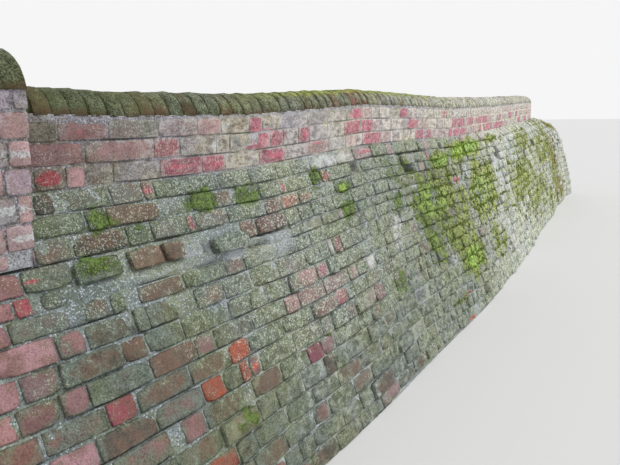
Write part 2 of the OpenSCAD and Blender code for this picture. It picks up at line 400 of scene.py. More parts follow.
# Holes where bricks have gone, and cracks: from and to along the wall and in courses, and the depth
holes = [
    (1, 1.36, 6.94, 7.14, 0.028), (0.94, 1.12, 7.42, 7.6, 0.03), (0.66, 0.71, 14.4, 14.8, 0.03),
    (1.98, 2.03, 15.7, 16.2, 0.03), (2.11, 2.24, 4, 4.95, 0.055), (2.42, 2.6, 15.7, 16.6, 0.04),
    (3.1, 3.26, 14.4, 15.3, 0.05), (3.76, 3.95, 18.9, 20.4, 0.06), (2.88, 3.12, 5, 5.8, 0.055),
    (2.83, 3.5, 3.96, 4.16, 0.04), (3.8, 4.1, 3.88, 4.08, 0.03), (5.33, 5.47, 4.2, 6.6, 0.06),
    (6.62, 6.76, 4, 5.9, 0.07), (6.8, 7, 5.9, 8.2, 0.07), (4.72, 4.98, 8.3, 8.7, 0.04),
    (3.11, 3.17, 12.5, 13.2, 0.04), (4.35, 4.48, 8.3, 8.8, 0.03), (0.715, 0.74, 6.5, 7.3, 0.03)
]


def patchWeight(rows, s, k):
    total = np.zeros_like(s)
    for s0, k0, halfS, halfK, strength in rows:
        reach = np.sqrt(((s - s0) / halfS) ** 2 + ((k - k0) / halfK) ** 2)
        total = np.maximum(total, strength * np.clip(1.6 - reach, 0, 1))
    return total


# How pale the wall has gone, 0 to 1, by the distance along it
paleness = {
    "battered": [(0.1, 0), (0.5, 0.12), (1.3, 0.42), (2.2, 0.38), (3.4, 0.42), (5.5, 1)],
    "parapet": [(0.1, 0), (0.6, 0.35), (1.3, 0.6), (3, 0.9), (6, 1)],
    "coping": [(0.2, 0), (1.2, 0.12), (2.2, 0.22), (3.2, 0.5), (4.5, 0.95), (6, 1)],
    "back": [(0, 0.1), (10, 0.4)],
}


def paleAt(kind, s):
    return np.interp(s, *zip(*paleness[kind]))


def growOn(mesh, kind):
    # Writes what lies where as attributes, from the stored place on the wall; the back stays plain
    count = len(mesh.vertices)
    place = np.zeros(count * 3, dtype=np.float32)
    mesh.attributes["wallAt"].data.foreach_get("vector", place)
    s, k = place[0::3], courseOf(place[1::3])
    shows = 0.0 if kind == "back" else 1.0
    moss, speck, lime, bare = (patchWeight(rows, s, k) * shows
                               for rows in (mossPatches, speckPatches, limePatches, barePatches))
    growth = np.stack([moss, speck, lime, paleAt(kind, s)], axis=1).astype(np.float32)
    mesh.attributes.new("growth", "FLOAT_COLOR", "POINT").data.foreach_set("color", growth.ravel())
    mesh.attributes.new("bare", "FLOAT", "POINT").data.foreach_set("value", bare.astype(np.float32))


def setVectors(mesh, key, rows, kind="FLOAT_VECTOR", field="vector"):
    mesh.attributes.new(key, kind, "POINT").data.foreach_set(field, [v for row in rows for v in row])


def newThing(name, content):
    thing = bpy.data.objects.new(name, content)
    bpy.context.scene.collection.objects.link(thing)
    return thing


def madeOf(name, points, faces, key=None, rows=None, finish=None):
    mesh = bpy.data.meshes.new(name)
    mesh.from_pydata(points, [], faces)
    if key:
        setVectors(mesh, key, rows)
    if finish:
        mesh.materials.append(finish)
    return newThing(name, mesh)


def loftFaces(rings, count, first=0):
    # Faces of a closed body through rings of count points each, from the point number first on
    last = first + (rings - 1) * count
    faces = [(a + j, a + (j + 1) % count, a + count + (j + 1) % count, a + count + j)
             for a in range(first, last, count) for j in range(count)]
    return faces + [tuple(range(first + count - 1, first - 1, -1)), tuple(range(last, last + count))]


brickSizes = {
    "bedJoint": 0.008,
    "headJoint": 0.008,
    "depth": 0.05,
    "cornerDepth": 0.11,
    "arris": 0.0022,
    "shift": 0.0025,
    "tilt": 1.2,
    "lean": 2.0,       # degrees that a battered brick's foot stands out, for the shadow under a course
    "rowHeight": 0.085,
    "tallest": 0.125,  # a wider gap between two beds takes more than one brick
    "dust": 0.26,      # crust that the battered bricks gain away from the pier
    "endRest": 0.06,  # a shorter rest at the end of a course goes to its last brick
    "stepOut": (0.003, 0.011),  # how far some battered bricks stand out
    "stepShare": 0.18,
    "sunk": (0.012, 0.12),  # how far some far bricks lie back, and their share
    "seed": 7,
}
proudBrick = {"top": 6.5, "foot": 7.48, "lift": 0.042, "wear": 0.5, "depth": 0.11}
slipped = {"lift": 0.018, "drop": 0.010}


def atEnd(s0, s1):  # whether a brick shows on a cut end
    return s0 < leftEnd + 0.02 or s1 > wallLength - 0.02


def farness(s):  # 0 near the pier, 1 past the moss
    return clamp((s - 2.6) / 3)


def brickRow(corners, tone, rng, wallAt, pale=0.0, lift=0.0, depth=None, wear=1.0, lean=0.0, dust=0.0):
    # corners: top left, top right, bottom left, bottom right, seen from the side that shows
    topLeft, topRight, lowLeft, lowRight = corners
    across = (topRight + lowRight - topLeft - lowLeft) / 2
    rise = (topLeft + topRight - lowLeft - lowRight) / 2
    side = across.normalized()
    rise -= rise.dot(side) * side
    up = rise.normalized()
    out = side.cross(up)
    turn = Matrix.Identity(3)
    for mean, spread, axis in ((0, 0.35, out), (-lean, 0.8, side), (0, 0.6, up)):
        degrees = rng.gauss(mean, spread * brickSizes["tilt"] * wear)
        turn = Matrix.Rotation(math.radians(degrees), 3, axis) @ turn
    centre = (topLeft + topRight + lowLeft + lowRight) / 4
    centre = centre + out * (lift + max(rng.gauss(0, brickSizes["shift"] * wear), -0.001))
    colour, crust = tones[tone]
    mean = sum(colour) / 3
    faded = [mean + (c - mean) * (1 - 0.12 * pale - 1.2 * dust) for c in colour]
    faded = mixed(faded, (230, 148, 172) if tone == "r" else (222, 213, 208), 0.58 * pale)
    shade = rng.gauss(1, 0.10 - 0.04 * pale)
    warm = rng.gauss(0, 0.04 - 0.02 * pale)
    tint = [c * shade * share for c, share in zip(paint(faded), (1 + warm, 1, 1 - warm))]
    long, tall = across.length - brickSizes["headJoint"], rise.length - brickSizes["bedJoint"]
    tint.append(clamp(crust + dust * 0.35 + rng.gauss(0, 0.12)))
    manner = (brickSizes["arris"] * rng.uniform(0.7, 1.6) * wear, wear, rng.uniform(0, 50))
    size = (long, depth or brickSizes["depth"], tall)
    return centre, turn @ side, turn @ out, turn @ up, size, wallAt, manner, tint


rowKeys = ("centre", "side", "out", "up", "size", "wallAt", "manner")


def pointMesh(name, rows):  # a point for each row, with its values as attributes
    thing = madeOf(name, [row[0] for row in rows], [])
    for i, key in enumerate(rowKeys):
        setVectors(thing.data, key, [row[i] for row in rows])
    setVectors(thing.data, "tint", [row[-1] for row in rows], "FLOAT_COLOR", "color")
    return thing


def blockTemplate(name, columns, levels):
    # One brick: its front as a grid, then rings for the arris and the back; cell = (-1..1, ring, -1..1)
    across, tall = len(columns), len(levels)
    cells = [(x, 0, z) for z in levels for x in columns]
    corners = [j * across + i for j in range(tall - 1) for i in range(across - 1)]
    faces = [(a, a + 1, a + across + 1, a + across) for a in corners]
    ring = list(range(across)) + [j * across + across - 1 for j in range(1, tall)]
    ring += [(tall - 1) * across + i for i in range(across - 2, -1, -1)]
    ring += [j * across for j in range(tall - 2, 0, -1)]
    count = len(ring)
    for level in (1, 2):
        start = len(cells)
        cells += [(cells[v][0], level, cells[v][2]) for v in ring]
        following = list(range(start, start + count))
        faces += zip(ring, following, following[1:] + following[:1], ring[1:] + ring[:1])
        ring = following
    faces.append(tuple(reversed(ring)))
    return madeOf(name, [(x, -level * 0.5, z) for x, level, z in cells], faces, "cell", cells)


def startTree(name, *inputs):
    # A tree that sets the object Block at each point, as one mesh that keeps the points' attributes
    tree = bpy.data.node_groups.new(name, "GeometryNodeTree")
    floats = [(label, "Float") for label in inputs]
    for label, kind in (("Geometry", "Geometry"), ("Block", "Object"), *floats, ("Finish", "Material")):
        tree.interface.new_socket(name=label, in_out="INPUT", socket_type="NodeSocket" + kind)
    tree.interface.new_socket(name="Geometry", in_out="OUTPUT", socket_type="NodeSocketGeometry")
    sheet = Sheet(tree)
    given = sheet.add("NodeGroupInput")
    block = sheet.add("GeometryNodeObjectInfo", {"Object": given.out("Block")}).out("Geometry")
    placed = sheet.add("GeometryNodeInstanceOnPoints", {"Points": given.out("Geometry"), "Instance": block})
    solid = sheet.add("GeometryNodeRealizeInstances", {"Geometry": placed})
    return sheet, given, solid, *(sheet.named(key).parts() for key in ("cell", "size", "manner"))


def closeTree(sheet, given, solid, x, y, z, onWall):
    # Moves each corner along its point's side, out and up, and stores where it is on the wall
    place = sheet.named("centre") + sheet.named("side") * x + sheet.named("out") * y + sheet.named("up") * z
    placeX, placeY, placeZ = place.parts()
    grounded = sheet.vector(placeX, placeY, placeZ.most(ground))
    moved = sheet.add("GeometryNodeSetPosition", {"Geometry": solid, "Position": grounded})
    noted = {"Geometry": moved, "Name": "wallAt", "Value": sheet.named("wallAt") + sheet.vector(*onWall)}
    stored = sheet.add("GeometryNodeStoreNamedAttribute", noted, data_type="FLOAT_VECTOR")
    smooth = sheet.add("GeometryNodeSetShadeSmooth", {"Geometry": stored, "Shade Smooth": True})
    finished = sheet.add("GeometryNodeSetMaterial", {"Geometry": smooth, "Material": given.out("Finish")})
    sheet.feed(sheet.tree.nodes.new("NodeGroupOutput").inputs[0], finished)
    return sheet.tree


def seededAt(sheet, x, y, z, seed):
    return sheet.vector(x + seed, y + seed * 1.7, z + seed * 0.6)


def layBricksTree():
    # Shapes each block to its point's size, with worn arrises and lost corners
    sheet, given, solid, cell, size, manner = startTree("layBricks", "Ragged", "Uneven", "Chip")
    (cellX, ring, cellZ), (length, depth, height), (arris, wear, seed) = cell, size, manner
    rounded = ring.least(1)
    back = sheet.calc("GREATER_THAN", ring, 1.5)
    sizeX, sizeZ = cellX.size(), cellZ.size()
    edge = sizeX.most(sizeZ)
    rim = edge.step(0.92, 1.0)
    corner = (sizeX * sizeZ) ** 10
    inset = arris * (1 - rounded) + corner * arris
    x = cellX * (length * 0.5 - inset)
    z = cellZ * (height * 0.5 - inset)
    y = 0 - arris * rounded - rim * arris * 0.25 * (1 - rounded) - back * (depth - arris)
    seeded = seededAt(sheet, x, y, z, seed)
    wornX, wornY, wornZ = (seeded.shake(24.0, 2.0) * 1.3 + seeded.shake(75.0, 1.0) * 0.9).parts()
    ragged = given.out("Ragged") * wear
    lost = seeded.grain(11.0, 0.0).step(0.56, 0.68) * corner * given.out("Chip") * wear
    x = x + wornX * ragged * (sizeX ** 4) - cellX * lost * 0.7
    z = z + wornZ * ragged * (sizeZ ** 4) - cellZ * lost * 0.5
    y = y + (wornY * given.out("Uneven") * wear - rim * wornX.size() * ragged - lost) * (1 - back)
    return closeTree(sheet, given, solid, x, y, z, (x, 0 - z, edge))


def runTree(name, rows, tree, **settings):
    # Runs the tree on a point for each row and keeps the result as a plain mesh object
    points = pointMesh(name, rows)
    modifier = points.modifiers.new("lay", "NODES")
    modifier.node_group = tree
    for item in tree.interface.items_tree:
        if item.in_out == "INPUT" and item.name in settings:
            modifier[item.identifier] = settings[item.name]
    points.update_tag()
    mesh = bpy.data.meshes.new_from_object(points.evaluated_get(bpy.context.evaluated_depsgraph_get()))
    source = points.data
    bpy.data.objects.remove(points)
    bpy.data.meshes.remove(source)
    mesh.name = name
    for spare in (*rowKeys, "cell"):
        if spare != "wallAt" and spare in mesh.attributes:
            mesh.attributes.remove(mesh.attributes[spare])
    print(name, len(mesh.polygons), "faces")
    return newThing(name, mesh)


# Tones past the end of a course's list: up to a distance along the wall, and past it
farTones = {1: (6.4, "cclcpc", "cpclprc"), 2: (5.9, "rrqprr", "crcprlc"), 3: (6.4, "rrprpr", "ppcrplc")}


def farTone(n, s, rng):
    if n in farTones:
        limit, near, far = farTones[n]
        return rng.choice(near if s < limit else far)
    if n == 4 and s < 5.5:
        return rng.choice("pply")
    return rng.choice("gygygylgyglvgyw" if s > 5 else "gggggybgygygbq")


def filled(rng, a, end, sizes, rest=brickSizes["endRest"], first=0, least=0.03):
    # Bricks of random lengths up to the end, as (from, to)
    while a < end - least:
        drawn = rng.choice(sizes)
        b = a + (first or drawn)
        if b > end - rest:
            b = end
        yield a, b
        a, first = b, 0


def fillCourse(n, rng):  # all bricks of course n as (from, to, tone)
    start, words = bond[n]
    bricks = []
    s = start
    for word in words.split():
        bricks.append((s, s + float(word[:-1]) / 100, word[-1]))
        s = bricks[-1][1]
    before = start
    while n > 6 and before > leftEnd + 0.03:
        size = min(rng.choice((0.235, 0.12, 0.12, 0.235, 0.18)), before - leftEnd)
        if before - size < leftEnd + 0.05:
            size = before - leftEnd
        bricks.insert(0, (before - size, before, rng.choice("pqppbqp")))
        before -= size
    sizes = (0.235, 0.225, 0.12, 0.12, 0.235, 0.17, 0.115, 0.14)
    return bricks + [(a, b, farTone(n, (a + b) / 2, rng)) for a, b in filled(rng, s, wallLength, sizes)]


def bedsOf(n, s0, s1, tone):  # heights of a brick's top and foot below the coping, at both ends
    if tone == "P":
        return [[downOf(proudBrick[key])] * 2 for key in ("top", "foot")]
    tops, lows = ([bedAt(bed, s) for s in (s0, s1)] for bed in (n - 1, n))
    if n in (1, 4):
        tops = [mortarSizes["topBed"] if n == 1 else parapetHeight] * 2
    if tone.isupper():
        tops, lows = ([down + slipped["drop"] for down in row] for row in (tops, lows))
    return tops, lows


def layBrick(n, s0, s1, tone, rng):  # one brick, or more where the beds lie too far apart for one
    middle = (s0 + s1) / 2
    tops, lows = bedsOf(n, s0, s1, tone)
    k = courseAt(sum(tops + lows) / 4)
    gone = any(a < middle < b and k0 < k < k1 and deep > 0.035 for a, b, k0, k1, deep in holes)
    if gone or sum(tops) / 2 > seatAt(middle) - 0.03:
        return []
    lows = [min(low, seatAt(middle) - 0.002) for low in lows]
    tall = (facePoint(middle, tops[0]) - facePoint(middle, lows[0])).length
    count = round(tall / brickSizes["rowHeight"]) if tall > brickSizes["tallest"] else 1
    far, upright, proud = farness(middle), n <= 3, tone == "P"
    depth = brickSizes["cornerDepth"] if atEnd(s0, s1) else None
    if upright:
        pale, wear, lean, dust = float(paleAt("parapet", middle)), 0.7, 0, 0
    else:
        pale, wear = float(paleAt("battered", middle) ** 2), 1.0 + 0.6 * far
        lean = brickSizes["lean"] * (1 - 0.4 * far)
        dust = brickSizes["dust"] * clamp((middle - 0.7) / 0.8)
    if proud:
        wear, depth, lean = proudBrick["wear"], proudBrick["depth"], 0
    rows = []
    for row in range(count):
        levels = [[t + (b - t) * part / count for t, b in zip(tops, lows)] for part in (row, row + 1)]
        corners = [facePoint(s, down) for level in levels for s, down in zip((s0, s1), level)]
        lift = rng.uniform(-0.001, 0.003) + slipped["lift"] * tone.isupper()
        if not upright and rng.random() < brickSizes["stepShare"] + 0.3 * far:
            lift += rng.uniform(*brickSizes["stepOut"]) * (1 + far)
        elif not upright and far > 0.6 and rng.random() < brickSizes["sunk"][1]:
            lift -= brickSizes["sunk"][0]
        if proud:
            lift = proudBrick["lift"]
        wallAt = (middle, sum(levels[0] + levels[1]) / 4, 0)
        shown = "y" if proud else tone.lower()
        rows.append(brickRow(corners, shown, rng, wallAt, pale, lift, depth, wear, lean, dust))
    return rows


def wallBricks():
    rng = random.Random(brickSizes["seed"])
    battered, upright = [], []
    for n in range(1, courseCount + 1):
        for s0, s1, tone in fillCourse(n, rng):
            if tone not in "mx":
                (upright if n <= 3 else battered).extend(layBrick(n, s0, s1, tone, rng))
    return battered, upright


# Mortar is one closed body just behind the faces of the bricks.
mortarSizes = {
    # Pairs of the distance along the wall and how far it lies behind the bricks there
    "recess": [(0.2, 0.004), (1.2, 0.006), (2.2, 0.006), (3.5, 0.004), (5, 0.002), (7, 0.0)],
    "parapetRecess": [(0.8, 0.003), (2, 0.002)],
    "flush": 0.005,   # how far stretches of it stand out or lie back
    "topBed": 0.008,  # bed of pale mortar under the coping
    "gap": 0.012,     # how much deeper the crack is under a course
    "open": [(0.5, 0.3), (1.5, 0.35), (3, 0.2), (6, -0.7)],  # by the distance, how much has cracked
    "rough": 0.003,
    "behind": 0.006,  # how far it lies inside the bricks of the back and the ends
    "inPier": -0.03,
    "steps": [(2.6, 0.013), (5, 0.022), (99, 0.04)],  # up to a distance, the width of its columns
}


def mortarColumns():
    columns = []
    s = leftEnd + mortarSizes["behind"]
    while s < wallLength - 0.008:
        columns.append(s)
        s += next(step for limit, step in mortarSizes["steps"] if s < limit)
    return columns + [wallLength - mortarSizes["behind"]]


# the same share paints shade into the joint, in the mortar's finish
def openCrack(s, n):  # whether the joint under course n has lost its mortar's edge there, 0 to 1
    return clamp(noise.noise(Vector((s * 4.0, n * 5.1, 2.0))) * 2.6 + lookup(mortarSizes["open"], s))


def mortarLift(s, k, crack):
    recess = lookup(mortarSizes["parapetRecess" if k < 3 else "recess"], s)
    if k >= 3:
        stretch = noise.noise(Vector((s * 2.2, k * 0.4, 7.0)))
        recess += mortarSizes["flush"] * stretch * min(max(s * 0.5, 0.4), 2)
    gap = crack * mortarSizes["gap"]
    lift = -recess - gap * (0.4 if k < 3 else 0.6 if s > 4 else 1)
    for s0, s1, k0, k1, proud in mortarPatches:
        inside = min((s - s0) / 0.04, (s1 - s) / 0.05, (k - k0) / 0.25, (k1 - k) / 0.25)
        if inside > 0:
            share = min(inside, 1) ** 2 * (3 - 2 * min(inside, 1))
            lift = lift * (1 - share) + (proud - gap * 0.5) * share
    ragged = noise.noise(Vector((s * 23, k * 1.7, 6.0)))
    for s0, s1, k0, k1, deep in holes:
        inside = min((s - s0) / 0.012, (s1 - s) / 0.012, (k - k0) / 0.12, (k1 - k) / 0.12)
        if inside > 0:
            inside = min(inside * (1 + ragged), 1)
            lift = lift * (1 - inside) - deep * (1 + 0.6 * ragged) * inside
            # a deep hole gets painted shade as well
            crack = max(crack, inside * deep / 0.07)
    return lift, crack


def mortarRing(s):  # heights below the coping's seat at which the mortar has a corner, with the crack's share
    half = brickSizes["bedJoint"] / 2
    foot = seatAt(s) - 0.001
    ring = [(mortarSizes["topBed"], 0)]
    for n in range(courseCount + 1):
        bed = bedAt(n, s) if n else mortarSizes["topBed"] + 0.002
        following = bedAt(n + 1, s) if n < courseCount else foot
        if n:
            # a little painted shade lies just under each course, and more where the joint has cracked
            ring += [(bed - half - 0.0015, 0.2), (bed - half + 0.002, openCrack(s, n)), (bed + half, 0)]
        ring += [(bed + (following - bed) * share, 0) for share in (0.3, 0.65)]
    return [(min(down, foot), crack) for down, crack in ring + [(foot, 0)]]


def mortarBody():
    columns = mortarColumns()
    points, places = [], []
    for s in columns:
        top = copingSeat(s) - seatAt(s) + 0.004
        for down, crack in [(-top, 0), (0.0, 0)] + mortarRing(s):
            k = courseAt(down)
            lift, crack = mortarLift(s, k, crack)
            if down <= mortarSizes["topBed"]:
                lift += 0.004
            rough = mortarSizes["rough"] * (0.5 if k < 3 else 1 + 0.8 * (s > 4.5))
            where = Vector((s * 45, down * 45, 0))
            lift += rough * noise.noise(where) + rough * 0.8 * noise.noise(where * 2.7)
            z = seatAt(s) - down
            if s < pierEdge(z) + 0.004 and z > wallForm["pierFoot"]:
                lift = mortarSizes["inPier"]
            points.append(facePoint(s, down, lift))
            points[-1].z = max(points[-1].z, ground)
            places.append((s, down, crack))
        for z in (ground, seatAt(s) * 0.5, seatAt(s) + top):
            points.append(wallPoint(s, mortarSizes["behind"] - thickness, z))
            places.append((-9, seatAt(s) - z, 0))  # away from all that grows on the front
    faces = loftFaces(len(columns), len(points) // len(columns))
    thing = madeOf("mortar_body", points, faces, "wallAt", places, finishes["mortar"])
    thing.data.shade_smooth()
    shell = bmesh.new()
    shell.from_mesh(thing.data)
    bmesh.ops.dissolve_degenerate(shell, dist=0.0002, edges=shell.edges)
    shell.to_mesh(thing.data)
    shell.free()
    print("mortar_body", len(thing.data.polygons), "faces")
    return thing


copingSizes = {
    "height": 0.104,
    "width": 0.231,
    "perBay": 14,
    "joint": 0.005,
    "worn": 0.0025,
    "uneven": 0.009,
    "tones": [(0.0, (80, 86, 56)), (1.2, (98, 100, 78)), (2.2, (118, 118, 106)), (3.2, (150, 148, 138)),
              (4.5, (156, 153, 142)), (6.0, (162, 158, 148))],  # by the distance
    "brown": (112, 84, 62),
    "red": ((2.2, 2.46), (138, 96, 88)),  # where the bricks show through, and their colour
    "capHeight": 0.142,
    "capOver": 0.006,
    "capBricks": 7,
    "capTone": (104, 92, 64),
    "steps": 12,
    "coreSteps": 240,
    "coreIn": (0.009, 0.005),  # how much narrower and lower the mortar between the bricks is
    "seed": 11,
}
capWidth = thickness + pierOut + 2 * copingSizes["capOver"]


def halfRound(width, height):
    radius = (width * width / 4 + height * height) / (2 * height)
    reach = math.asin(min(width / 2 / radius, 1))
    if height > radius:
        reach = math.pi - reach
    steps = copingSizes["steps"]
    turns = [reach * (2 * i / steps - 1) for i in range(steps + 1)]
    return [(radius * math.sin(turn), height - radius + radius * math.cos(turn)) for turn in turns]


def copingTemplate(name, width, height, thick):
    # x runs along the wall, y across it and z up, in metres, with worn arrises
    outline = halfRound(width, height)
    worn = copingSizes["worn"]
    slices = [(-thick / 2, worn), (-thick / 2 + worn, 0), (thick / 2 - worn, 0), (thick / 2, worn)]
    shrunk = [(x, 1 - inset / (height * 0.8)) for x, inset in slices]
    points = [(x, y * shrink, z * shrink) for x, shrink in shrunk for y, z in outline]
    return madeOf(name, points, loftFaces(len(slices), len(outline)), "cell", points)


def layCopingTree():
    sheet, given, solid, cell, size, (half, wear, seed) = startTree("layCoping", "Uneven")
    x, y, z = (place * scale for place, scale in zip(cell, size))
    seeded = seededAt(sheet, x, y, z, seed)
    shaken = (seeded.shake(15.0, 2.0) * 1.5 + seeded.shake(60.0, 1.0) * 0.8) * given.out("Uneven") * wear
    moveX, moveY, moveZ = shaken.parts()
    seated = z.step(0.0, 0.012)
    onWall = (x, 0 - z, x.size() / half)
    return closeTree(sheet, given, solid, x + moveX * 0.5, y + moveY * seated, z + moveZ * seated, onWall)


def copingRow(s, base, rng, tone, crust, scale, thick):
    tip = Matrix.Rotation(math.radians(rng.gauss(0, 1.6)), 3, forward(s))
    tip = tip @ Matrix.Rotation(math.radians(rng.gauss(0, 2.0)), 3, upBy(1))
    shade = rng.gauss(1, 0.12)
    tint = (*(c * shade for c in paint(tone)), crust)
    manner = (thick / 2 * scale[0], 1, rng.uniform(0, 50))
    return base, tip @ along(s), tip @ forward(s), tip @ upBy(1), scale, (s, 0, 0), manner, tint


def copingBricks():
    rng = random.Random(copingSizes["seed"])
    joint = copingSizes["joint"]
    pitch = wallForm["bay"] / copingSizes["perBay"]
    stops, colours = zip(*copingSizes["tones"])
    rows = []
    for i in range(copingSizes["perBay"] * wallForm["bays"]):
        left = max(i * pitch, pierEdge(pierTop))
        s = (left + (i + 1) * pitch) / 2
        tone = [float(np.interp(s, stops, channel)) for channel in zip(*colours)]
        if rng.random() < 0.35:
            share = rng.uniform(0.3, 0.9) * (1 - 0.6 * float(paleAt("coping", s)))
            tone = mixed(tone, copingSizes["brown"], share)
        crust = rng.uniform(0.3, 0.8)
        (redFrom, redTo), red = copingSizes["red"]
        if redFrom < s < redTo:
            tone, crust = red, 0.35
        wide = ((i + 1) * pitch - left - joint) / (pitch - joint) * rng.uniform(0.95, 1.0)
        scale = (wide, rng.uniform(0.985, 1.0), rng.uniform(0.965, 1.0))
        base = wallPoint(s, -thickness / 2, copingSeat(s))
        rows.append(copingRow(s, base, rng, tone, crust, scale, pitch - joint))
    block = copingTemplate("coping_block", copingSizes["width"], copingSizes["height"], pitch - joint)
    return rows, block


def capBricks():
    rng = random.Random(copingSizes["seed"] + 1)
    pitch = pierWidth / copingSizes["capBricks"]
    thick = pitch - copingSizes["joint"]
    rows = []
    for i in range(copingSizes["capBricks"]):
        base = pierPoint(-pierWidth + (i + 0.5) * pitch, (pierOut - thickness) / 2, pierTop)
        scale = (1, 1, rng.uniform(0.98, 1))
        rows.append(copingRow(0, base, rng, copingSizes["capTone"], 0.6, scale, thick))
    return rows, copingTemplate("cap_block", capWidth, copingSizes["capHeight"], thick)


def copingCore():
    # Mortar between the coping bricks: half-round runs, a little smaller than they are
    steps = copingSizes["coreSteps"]
    start, middle = pierEdge(pierTop) + 0.006, (pierOut - thickness) / 2
    stops = [start + (wallLength - 0.01 - start) * i / steps for i in range(steps + 1)]
    wall = [(s, wallPoint(s, -thickness / 2, copingSeat(s))) for s in stops]
    cap = [(s, pierPoint(s, middle, pierTop)) for s in (-pierWidth + 0.01, -0.3, -0.01)]
    points, places, faces = [], [], []
    for stations, width, height in ((wall, copingSizes["width"], copingSizes["height"]),
                                    (cap, capWidth, copingSizes["capHeight"])):
        narrower, lower = copingSizes["coreIn"]
        outline = halfRound(width - narrower, height - lower)
        faces += loftFaces(len(stations), len(outline), len(points))
        for s, base in stations:
            for y, z in outline:
                rough = 0.003 * noise.noise(Vector((s * 31, y * 40, z * 40)))
                points.append(base + forward(s) * (y + rough) + upBy(max(z + rough, 0)))
                places.append((s, -z, 0))
    thing = madeOf("coping_mortar", points, faces, "wallAt", places, finishes["joint"])
    thing.data.shade_smooth()
    return thing


# The pier's courses from the top: lengths in cm and tones from its right edge, then filled up at random
pierSizes = {
    "beds": [1.728, 1.655, 1.563, 1.475, 1.385, 1.292, 1.203, 1.146],
    "front": ["5.1s 23y", "11v 22l", "7.3v 23g", "8.8v 22v", "5v 23l", "9.2v 22v", "1.1v 7.5x 22v"],
    "backFoot": 1.166,
    "depth": 0.06,
    "behind": 0.005,
    "seed": 5,
}


def pierBricks():
    rng = random.Random(pierSizes["seed"])
    flush = brickSizes["headJoint"] / 2
    rows, backRows = [], []

    def panel(pointAt, size, words, top, foot, into=rows, tonesLeft="vplv", pale=0):
        # bricks from 0 to size, laid from the right corner to the left one
        a = 0.0
        words = words.split()
        while a < size - 0.02:
            tone, step = rng.choice(tonesLeft), rng.choice((0.11, 0.22))
            if words:
                word = words.pop(0)
                tone, step = word[-1], float(word[:-1]) / 100
            b = size if a + step > size - 0.06 else a + step
            if tone != "x":
                a, b = (a if a > 0.01 else -flush), (b if b < size - 0.01 else size + flush)
                corners = [pointAt(place, z) for z in (top, foot) for place in (b, a)]
                wallAt = (-(a + b) / 2, seatAt(0) - (top + foot) / 2, 0)
                deep = brickSizes["cornerDepth"] if a < 0 or b > size else pierSizes["depth"]
                into.append(brickRow(corners, tone, rng, wallAt, pale, 0, deep, 0.8))
            a = max(b, 0)

    beds = pierSizes["beds"]
    for n, (top, foot) in enumerate(zip(beds, beds[1:])):
        corner = "22" if n % 2 else "11"  # length of the brick at the corner
        panel(lambda a, z: pierPoint(-a, pierOut, z), pierWidth, pierSizes["front"][n], top, foot)
        if foot > pierSizes["backFoot"] - 0.03:
            panel(lambda a, z: pierPoint(a - pierWidth, -thickness, z), pierWidth, corner + "g", top,
                  max(foot, pierSizes["backFoot"]), backRows, "bgqg", plainSizes["pale"])
        panel(lambda a, z: pierPoint(-pierWidth, pierOut - a, z), pierOut + thickness, corner + "v", top,
              foot)
    panel(lambda a, z: pierPoint(0, a - thickness, z), thickness, "11g", beds[0], beds[1])
    return rows, backRows


def pierCore():
    behind = pierSizes["behind"]
    left, right, front, back = behind - pierWidth, -behind, pierOut - behind, behind - thickness
    plan = ((left, front), (right, front), (right, back), (left, back))
    points = [pierPoint(s, out, z) for z in (pierSizes["beds"][-1], pierTop - 0.001) for s, out in plan]
    faces = [(3, 2, 1, 0), (4, 5, 6, 7), (0, 1, 5, 4), (1, 2, 6, 5), (2, 3, 7, 6), (3, 0, 4, 7)]
    places = [(-9.0 if i % 4 > 1 else -0.2, min(seatAt(0) - p.z, 0.2), 0) for i, p in enumerate(points)]
    return madeOf("pier_mortar", points, faces, "wallAt", places, finishes["mortar"])


plainSizes = {"backSeed": 23, "endSeed": 31, "pale": 0.2, "wear": 0.8, "corner": 0.112}


def backBricks():
    rng = random.Random(plainSizes["backSeed"])
    pale, wear = plainSizes["pale"], plainSizes["wear"]

    def bedHeight(s, level):
        return max(seatAt(s) * (1 - level / courseCount), ground)

    rows, sizes = [], (0.235, 0.235, 0.12, 0.235, 0.235)
    for n in range(courseCount):
        start = leftEnd if seatAt(0) * (1 - n / courseCount) < pierSizes["backFoot"] else 0.004
        for s, e in filled(rng, start, wallLength, sizes, first=0.12 * (n % 2)):
            corners = [wallPoint(x, -thickness, bedHeight(x, level)) for level in (n, n + 1) for x in (e, s)]
            deep = brickSizes["cornerDepth" if atEnd(s, e) else "depth"]
            wallAt = ((s + e) / 2, seatAt(s) - (bedHeight(s, n) + bedHeight(s, n + 1)) / 2, 0)
            tone = rng.choice("bgbgqbgdgqb")
            rows.append(brickRow(corners, tone, rng, wallAt, pale, 0, deep, wear))
    return rows


def endBricks():
    # The two cut ends, filled with bricks between the corner bricks of the front and the back
    rng = random.Random(plainSizes["endSeed"])
    pale, wear = plainSizes["pale"], plainSizes["wear"]
    rows = []
    for s, facing in ((leftEnd, -1), (wallLength, 1)):
        for n in range(courseCount):
            top, foot = bedAt(n, s), min(bedAt(n + 1, s), seatAt(s) - 0.002)
            if foot - top < 0.03 or (facing < 0 and seatAt(s) - top > wallForm["pierFoot"] + 0.02):
                continue
            back, front = plainSizes["corner"] - thickness, -plainSizes["corner"]
            if top > parapetHeight:
                front += min(faceOut(s, down - parapetHeight) for down in (top, foot))
            for a, b in filled(rng, back, front, (0.12, 0.235, 0.22), 0.05, least=0.02):
                sides = (b, a) if facing > 0 else (a, b)
                corners = [wallPoint(s, out, seatAt(s) - down) for down in (top, foot) for out in sides]
                tone, wallAt = rng.choice("bgqbqg"), (s, (top + foot) / 2, 0)
                rows.append(brickRow(corners, tone, rng, wallAt, pale, 0, pierSizes["depth"], wear))
    return rows


